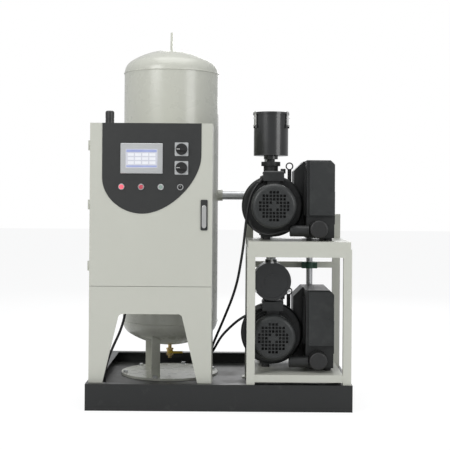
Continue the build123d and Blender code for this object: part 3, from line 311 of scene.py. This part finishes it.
# Cream paint
# Sprayed and stoved finish that the tank, the cabinet and the rack share: warm pale grey
# with the faint orange peel of a spray gun.
def cream(name, peel_scale, peel_depth, gloss):
    paint, shader, place = finish(name, coat=0.25)
    cloud = spread(noise(place, 3, 5), 0.35, 0.7)
    connect(shader, Base_Color=tint(cloud, (0.6, 0.605, 0.535), (0.615, 0.62, 0.55)),
            Roughness=noise(place, 12) * 0.12 + gloss,
            Normal=bumps(noise(place, peel_scale, 2), peel_depth, 0.6))
    return paint


tank_paint = cream("tank_cream_gloss", 160, 0.0001, 0.22)
cabinet_paint = cream("cabinet_cream", 420, 0.0001, 0.38)
rack_paint = cream("rack_cream", 240, 0.0001, 0.36)
dress(tank_paint, "tank_vessel", "tank_stand")
dress(cabinet_paint, "cabinet_shell", "cabinet_stand", "cabinet_door", "door_hinges")
dress(rack_paint, "rack_posts", "rack_rails", "rack_shelves")


# Tank details
# The dished heads are welded to the shell, so a low rounded bead runs round the tank at
# each head, and hexagon bolts hold its foot plate to the deck.
tank_low, tank_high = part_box("tank_stand")
tank_centre = (tank_low + tank_high) / 2
tank_r = 0.26
head_depth = 0.1324
vessel_foot = 0.228
vessel_crown = 1.852
bead_r = 0.0035
foot_plate_top = 0.08
foot_bolt_circle = 0.245


def bead_ring(mesh, centre, radius, thick):
    """Round bead along a level circle, slightly waved as a weld is."""
    around = 160
    across = 8
    ripples = 57
    ripple_share = 0.12
    rings = []
    for i in range(around):
        turn = 2 * math.pi * i / around
        size = thick * (1 + ripple_share * math.sin(turn * ripples))
        ring = []
        for j in range(across):
            tilt = 2 * math.pi * j / across
            out = radius + size * math.cos(tilt)
            ring.append(mesh.verts.new((centre[0] + out * math.cos(turn),
                                        centre[1] + out * math.sin(turn),
                                        centre[2] + size * math.sin(tilt))))
        rings.append(ring)
    for i in range(around):
        for j in range(across):
            k = (i + 1) % around
            m = (j + 1) % across
            mesh.faces.new((rings[i][j], rings[k][j], rings[k][m], rings[i][m]))


for seam_name, seam_z in (("lower", vessel_foot + head_depth), ("upper", vessel_crown - head_depth)):
    bead = link_mesh(seam_name + "_head_weld", lambda mesh: bead_ring(
        mesh, (tank_centre.x, tank_centre.y, seam_z), tank_r, bead_r), tank_paint, "station", True)


def hexagon_head(mesh, place, direction, across, height):
    """Hexagon bolt head with a chamfered top and its washer."""
    washer_r = across * 0.62
    washer_top = height * 0.18
    chamfer_r = across * 0.43
    chamfer_foot = height * 0.85
    turn = Vector(direction).to_track_quat("Z", "Y").to_matrix().to_4x4()
    seat = Matrix.Translation(place) @ turn
    for radius, low, high, sides in ((washer_r, 0, washer_top, 24),
                                     (across / 2, washer_top, chamfer_foot, 6),
                                     (chamfer_r, chamfer_foot, height, 6)):
        rings = []
        for level in (low, high):
            ring = []
            for i in range(sides):
                angle = 2 * math.pi * i / sides
                ring.append(mesh.verts.new(seat @ Vector((radius * math.cos(angle),
                                                          radius * math.sin(angle), level))))
            rings.append(ring)
        for i in range(sides):
            k = (i + 1) % sides
            mesh.faces.new((rings[0][i], rings[0][k], rings[1][k], rings[1][i]))
        mesh.faces.new(rings[1])
        mesh.faces.new(reversed(rings[0]))


def bolts(name, places, direction, across, height, material, slot_name):
    """One piece that holds a group of like bolts."""
    def build(mesh):
        for place in places:
            hexagon_head(mesh, Vector(place), direction, across, height)
    link_mesh(name, build, material, "station")


def round_places(centre, radius, count, start, plane):
    """Places on a circle that lies level, or upright across the pump's axis."""
    places = []
    for i in range(count):
        angle = math.radians(start) + 2 * math.pi * i / count
        a = radius * math.cos(angle)
        b = radius * math.sin(angle)
        shift = Vector((a, b, 0)) if plane == "level" else Vector((a, 0, b))
        places.append(Vector(centre) + shift)
    return places


zinc, zinc_shader, zinc_place = finish("zinc_plate", metallic=0.9)
zinc_cloud = spread(noise(zinc_place, 120, 6), 0.35, 0.7)
connect(zinc_shader, Base_Color=tint(zinc_cloud, (0.5, 0.51, 0.52), (0.66, 0.67, 0.67)),
        Roughness=zinc_cloud * 0.2 + 0.3, Normal=bumps(noise(zinc_place, 800), 0.0001, 0.5))
foot_bolt_places = round_places((tank_centre.x, tank_centre.y, foot_plate_top), foot_bolt_circle,
                                count=6, start=15, plane="level")
bolts("tank_foot_bolts", foot_bolt_places, direction=(0, 0, 1), across=0.024, height=0.012,
      material=zinc, slot_name="galvanised")


# Drain valve
# Turned brass body screwed into the foot of the tank, with a steel lever dipped in
# yellow vinyl.
brass, brass_shader, brass_place = finish("turned_brass", metallic=1.0)
tarnish = spread(noise(brass_place, 90, 7), 0.42, 0.7)
connect(brass_shader, Base_Color=tint(tarnish, (0.78, 0.57, 0.25), (0.5, 0.36, 0.17)),
        Roughness=tarnish * 0.25 + 0.22, Normal=bumps(noise(brass_place, 1200), 0.0001, 0.4))
dress(brass, "drain_valve")
vinyl, vinyl_shader, vinyl_place = finish("yellow_vinyl")
connect(vinyl_shader, Base_Color=tint(noise(vinyl_place, 80), (0.68, 0.45, 0.03), (0.75, 0.52, 0.05)),
        Roughness=noise(vinyl_place, 40) * 0.2 + 0.35)
dress(vinyl, "drain_lever")


# Control panel and operators
# A satin black plate on the door that carries the screen, two switches on silver plates,
# two red lamps of which the first is lit, the start button and the selector.
satin, satin_shader, satin_place = finish("satin_black_plate", coat=0.15)
connect(satin_shader,
        Base_Color=tint(noise(satin_place, 30), (0.021, 0.022, 0.022), (0.029, 0.03, 0.029)),
        Roughness=noise(satin_place, 60) * 0.15 + 0.36,
        Normal=bumps(noise(satin_place, 1500), 0.0001, 0.4))
dress(satin, "control_panel", "alarm_sounder", "ballast_valves", "latch_plate")
grip, grip_shader, grip_place = finish("moulded_black_grip")
connect(grip_shader,
        Base_Color=tint(noise(grip_place, 90), (0.01, 0.01, 0.01), (0.024, 0.024, 0.024)),
        Roughness=noise(grip_place, 200) * 0.15 + 0.35,
        Normal=bumps(noise(grip_place, 2400), 0.0001, 0.5))
dress(grip, "selector_knob", "switch_knob_upper", "switch_knob_lower", "cable_glands",
      "motor_fan_upper", "motor_fan_lower", "oil_filters")
silver, silver_shader, silver_place = finish("brushed_silver", metallic=0.85)
silver_grain = silver_place.node("Mapping", {}, {"Vector": silver_place, "Scale": (2, 2, 300)})
brushing = noise(silver_grain, 10, 3)
connect(silver_shader, Base_Color=tint(brushing, (0.55, 0.56, 0.56), (0.74, 0.75, 0.75)),
        Roughness=brushing * 0.25 + 0.25, Normal=bumps(brushing, 0.0001, 0.4))
dress(silver, "control_bezels", "screen_bezel")
steel, steel_shader, steel_place = finish("drawn_steel", metallic=0.95)
drawn = noise(steel_place.node("Mapping", {}, {"Vector": steel_place, "Scale": (60, 60, 3)}), 12, 3)
connect(steel_shader, Base_Color=tint(drawn, (0.52, 0.52, 0.51), (0.7, 0.7, 0.69)),
        Roughness=drawn * 0.2 + 0.26, Normal=bumps(drawn, 0.0001, 0.4))
clips = ["filter_clip_" + place + "_" + str(number)
         for place in ("upper", "lower") for number in (1, 2, 3)]
dress(steel, "latch_handle", *clips)
lens, lens_shader, lens_place = finish("red_lens", coat=0.8)
lens_shader.inputs["Emission Strength"].default_value = 1.3
lens_glow = spread(noise(lens_place, 160, 2), 0.3, 0.75)
lens_x = lens_place.node("SeparateXYZ", {}, {"Vector": lens_place})
lamps_low, lamps_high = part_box("lamp_lenses")
first_lamp = lens_x.node("Math", {"operation": "LESS_THAN"},
                         {0: lens_x, 1: (lamps_low.x + lamps_high.x) / 2})
connect(lens_shader, Base_Color=tint(lens_glow, (0.5, 0.05, 0.08), (0.6, 0.1, 0.13)),
        Roughness=lens_glow * 0.1 + 0.15,
        Emission_Color=tint(first_lamp * (lens_glow * 0.5 + 0.5), (0.03, 0, 0.002), (0.75, 0.12, 0.16)))
dress(lens, "lamp_lenses")
green, green_shader, green_place = finish("grey_green_button", coat=0.4)
connect(green_shader, Base_Color=tint(noise(green_place, 120), (0.26, 0.36, 0.31), (0.33, 0.44, 0.38)),
        Roughness=noise(green_place, 200) * 0.15 + 0.25)
dress(green, "start_button")


# Screen picture
# The display shows a plain pale page with a darker bar at its top and foot and blank
# boxes in rows between them.
def slab(mesh, x0, x1, y0, y1, z0, z1):
    """Thin block between the given sides."""
    made = bmesh.ops.create_cube(mesh, size=1)["verts"]
    bmesh.ops.scale(mesh, vec=(x1 - x0, y1 - y0, z1 - z0), verts=made)
    bmesh.ops.translate(mesh, vec=((x0 + x1) / 2, (y0 + y1) / 2, (z0 + z1) / 2), verts=made)


def lit(name, dark, light, strength):
    """Display surface that shines by itself."""
    material, shader, place = finish(name, coat=0.5)
    cells = spread(noise(place, 25, 2), 0.3, 0.7)
    connect(shader, Base_Color=tint(cells, dark, light), Emission_Color=tint(cells, dark, light),
            Roughness=cells * 0.05 + 0.12)
    shader.inputs["Emission Strength"].default_value = strength
    return material


page = lit("display_page", (0.5, 0.51, 0.57), (0.56, 0.57, 0.62), 0.34)
dress(page, "screen_glass")
bar = lit("display_bar", (0.28, 0.32, 0.56), (0.32, 0.37, 0.61), 0.32)
tile = lit("display_tile", (0.66, 0.67, 0.71), (0.72, 0.73, 0.76), 0.36)
glass_low, glass_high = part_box("screen_glass")
page_w = glass_high.x - glass_low.x
page_h = glass_high.z - glass_low.z
skin = 0.0004
page_rim = 0.004
top_bar_h = 0.012
foot_bar_h = 0.008
tile_columns = 4
tile_rows = 3


def page_bars(mesh):
    """Wide bar along the top of the page and a narrow one along its foot."""
    left = glass_low.x + page_rim
    right = glass_high.x - page_rim
    top = glass_high.z - page_rim
    foot = glass_low.z + page_rim
    slab(mesh, left, right, glass_low.y - skin, glass_low.y, top - top_bar_h, top)
    slab(mesh, left, right, glass_low.y - skin, glass_low.y, foot, foot + foot_bar_h)


def page_tiles(mesh):
    """Blank boxes in rows, placed and sized in shares of the page."""
    first_column, column_step, tile_share_w = 0.07, 0.225, 0.19
    first_row, row_step, tile_share_h = 0.2, 0.21, 0.15
    for column in range(tile_columns):
        for row in range(tile_rows):
            x = glass_low.x + page_w * (first_column + column_step * column)
            z = glass_low.z + page_h * (first_row + row_step * row)
            slab(mesh, x, x + page_w * tile_share_w, glass_low.y - skin, glass_low.y,
                 z, z + page_h * tile_share_h)


for picture_name, picture, picture_paint in (("screen_bars", page_bars, bar),
                                             ("screen_tiles", page_tiles, tile)):
    link_mesh(picture_name, picture, picture_paint, "door")


# Pointer marks
# White strips moulded onto the grips of both switches and the selector, just proud of
# their faces.
white, white_shader, white_place = finish("white_mark")
connect(white_shader, Base_Color=tint(noise(white_place, 300), (0.8, 0.8, 0.78), (0.88, 0.88, 0.86)),
        Roughness=noise(white_place, 500) * 0.1 + 0.4)
thin_mark = 0.0012
thin_far = 0.8
wide_mark = 0.0024
wide_near = 0.25
wide_far = 0.85


def pointer(name, node, body, upright):
    """Strip on a grip's face that points up or to the left."""
    low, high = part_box(node)
    x = (low.x + high.x) / 2
    z = (low.z + high.z) / 2
    reach = (high.x - low.x) / 2
    face = low.y - skin

    def build(mesh):
        if upright:
            slab(mesh, x - thin_mark / 2, x + thin_mark / 2, face, low.y, z, z + reach * thin_far)
        else:
            slab(mesh, x - reach * wide_far, x - reach * wide_near, face, low.y,
                 z - wide_mark / 2, z + wide_mark / 2)
    link_mesh(name, build, white, body)


pointer("upper_switch_mark", "switch_knob_upper", "switch_upper", False)
pointer("lower_switch_mark", "switch_knob_lower", "switch_lower", False)
pointer("selector_mark", "selector_knob", "selector", True)


# Inside the cabinet
# Galvanised mounting plate on stand-offs with pale moulded gear on it, seen when the
# door is open.
dress(zinc, "gear_plate")
gear_shell, gear_shader, gear_place = finish("pale_gear_moulding")
connect(gear_shader, Base_Color=tint(noise(gear_place, 40), (0.5, 0.51, 0.5), (0.6, 0.61, 0.6)),
        Roughness=noise(gear_place, 90) * 0.2 + 0.4,
        Normal=bumps(noise(gear_place, 1500), 0.0001, 0.4))
dress(gear_shell, "control_gear")


# Pumps
# Sand-cast housings and oil boxes and die-cast motors, all painted black. The castings
# keep the grain of the mould and the paint wears a little grey on its highest places.
def casting(name, dark, light, grain, depth, gloss):
    material, shader, place = finish(name, coat=0.12)
    worn = spread(noise(place, 22, 9), 0.5, 0.78)
    connect(shader, Base_Color=tint(worn, dark, light), Roughness=noise(place, 50) * 0.2 + gloss,
            Normal=bumps(noise(place, grain, 5), depth, 0.7))
    return material


cast_black = casting("black_casting", dark=(0.008, 0.009, 0.009), light=(0.022, 0.024, 0.023),
                     grain=420, depth=0.0005, gloss=0.38)
motor_black = casting("black_motor_paint", dark=(0.011, 0.012, 0.012), light=(0.026, 0.028, 0.027),
                      grain=900, depth=0.0002, gloss=0.34)
cover_black = casting("black_cover_paint", dark=(0.02, 0.022, 0.022), light=(0.034, 0.036, 0.035),
                      grain=700, depth=0.0002, gloss=0.36)
dress(cast_black, "pump_housings", "oil_boxes", "inlet_fittings", "lifting_eyes")
dress(motor_black, "motor_bodies", "terminal_boxes")
dress(cover_black, "oil_box_covers", "fan_cowls")
rubber, rubber_shader, rubber_place = finish("mount_rubber")
connect(rubber_shader,
        Base_Color=tint(noise(rubber_place, 70), (0.012, 0.012, 0.012), (0.03, 0.03, 0.03)),
        Roughness=noise(rubber_place, 90) * 0.15 + 0.6)
dress(rubber, "pump_feet")

pump_axis_x = 0.265
bell_front = -0.3
bell_bolt_circle = 0.138
cover_back = 0.016
cover_bolt_circle = 0.1
pump_bolt = {"across": 0.016, "height": 0.008, "material": cast_black, "slot_name": "pump_black"}
for deck_name, axis_z in (("upper", 0.998), ("lower", 0.35)):
    bolts(deck_name + "_bell_bolts",
          round_places((pump_axis_x, bell_front, axis_z), bell_bolt_circle, count=8, start=22.5,
                       plane="upright"),
          direction=(0, -1, 0), **pump_bolt)
    bolts(deck_name + "_cover_bolts",
          round_places((pump_axis_x, cover_back, axis_z), cover_bolt_circle, count=6, start=0,
                       plane="upright"),
          direction=(0, 1, 0), **pump_bolt)


# Filter canisters
# Spun steel in gloss black, each with a pressed lid under three sprung clips, and a
# pleated paper element inside.
can_paint, can_shader, can_place = finish("gloss_black_can", coat=0.5)
connect(can_shader,
        Base_Color=tint(noise(can_place, 12, 6), (0.007, 0.008, 0.008), (0.015, 0.016, 0.017)),
        Roughness=noise(can_place, 25) * 0.15 + 0.24, Normal=bumps(noise(can_place, 500), 0.0001, 0.5))
dress(can_paint, "filter_cans", "filter_lids")
paper, paper_shader, paper_place = finish("pleated_paper")
connect(paper_shader, Base_Color=tint(noise(paper_place, 150), (0.62, 0.58, 0.46), (0.7, 0.67, 0.55)),
        Roughness=noise(paper_place, 60) * 0.1 + 0.8)
dress(paper, "filter_elements")


# Pipework
# Galvanised steel tube with welded bends, and a ribbed green plastic clamp on the exhaust.
dress(zinc, "suction_riser", "suction_header", "exhaust_riser")
clamp_green, clamp_shader, clamp_place = finish("green_clamp_moulding")
connect(clamp_shader,
        Base_Color=tint(noise(clamp_place, 60), (0.02, 0.07, 0.045), (0.035, 0.1, 0.065)),
        Roughness=noise(clamp_place, 90) * 0.15 + 0.4)
dress(clamp_green, "pipe_clamp")
